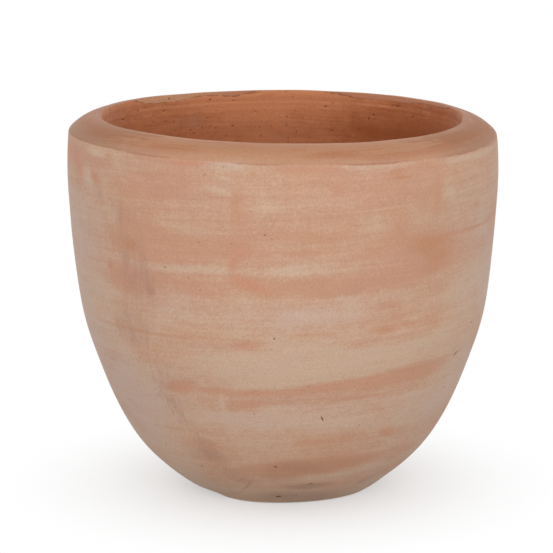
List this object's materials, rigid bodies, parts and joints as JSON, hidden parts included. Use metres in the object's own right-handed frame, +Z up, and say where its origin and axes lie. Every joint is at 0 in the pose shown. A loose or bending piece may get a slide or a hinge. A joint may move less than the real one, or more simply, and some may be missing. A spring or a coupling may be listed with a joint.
{
  "type": "flower pot",
  "caption": "Round thick-walled terracotta planter: deep bowl on a small foot, upright upper wall, broad bevelled rim and a drain hole in the floor.",
  "frame": {"origin": "centre of the foot, on the ground", "axes": "+Z up along the axis of the pot; -Y faces the viewer of the picture, +X to the viewer's right"},
  "size_m": [0.4, 0.3998, 0.35],
  "materials": {
    "terracotta": "unglazed salmon clay under a thin pale wash, wiped in level bands, matt"
  },
  "bodies": {
    "root": {"pot": "terracotta"}
  },
  "joints": []
}
